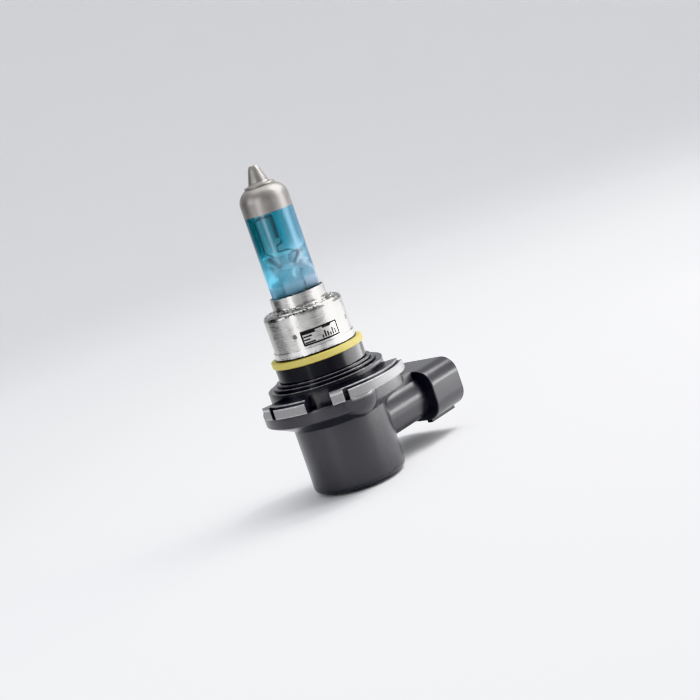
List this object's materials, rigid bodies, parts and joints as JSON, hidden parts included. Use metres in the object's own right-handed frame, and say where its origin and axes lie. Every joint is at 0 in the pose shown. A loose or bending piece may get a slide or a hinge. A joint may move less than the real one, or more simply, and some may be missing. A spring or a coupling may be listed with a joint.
{
  "type": "headlight bulb",
  "caption": "Halogen headlamp bulb with a coated glass capsule, steel collar, sealing ring, bayonet lugs and a right-angle plug socket with blade terminals.",
  "frame": {"origin": "on the bulb's axis, in the middle of the seal ring's outer band", "axes": "+Z along the bulb's axis towards the glass tip, +X out of the plug socket's mouth"},
  "size_m": [0.0543, 0.0376, 0.0794],
  "materials": {
    "quartz": "clear fused quartz",
    "cap_coat": "satin grey heat-proof coat",
    "blue_coat": "transparent blue filter coat",
    "tungsten": "dark drawn tungsten",
    "support_metal": "drawn molybdenum",
    "foil_metal": "thin molybdenum foil",
    "sleeve_silicone": "matt silicone tube",
    "spring_steel": "stamped spring steel",
    "collar_steel": "deep-drawn stainless steel, faintly brushed round",
    "ring_steel": "turned steel, bright edge",
    "yellow_silicone": "matt yellow silicone",
    "black_plastic": "glass-filled black moulding with a semi-gloss skin",
    "tinned_brass": "tin-plated brass",
    "resin": "cast sealing resin",
    "cover_plastic": "black moulding, slightly matt"
  },
  "bodies": {
    "root": {"glass_capsule": "quartz", "cap_coating": "cap_coat", "blue_coating": "blue_coat", "filament_coil": "tungsten", "long_support_wire": "support_metal", "short_support_wire": "support_metal", "foil_long_side": "foil_metal", "foil_short_side": "foil_metal", "lead_long_side": "support_metal", "lead_short_side": "support_metal", "sleeve_long_side": "sleeve_silicone", "sleeve_short_side": "sleeve_silicone", "pinch_clamp": "spring_steel", "holder_cup": "collar_steel", "capsule_collar": "collar_steel", "base_ring": "ring_steel", "seal_ring": "yellow_silicone", "base_housing": "black_plastic", "blade_left": "tinned_brass", "blade_right": "tinned_brass", "sealing_compound": "resin", "rear_cover": "cover_plastic"}
  },
  "joints": []
}
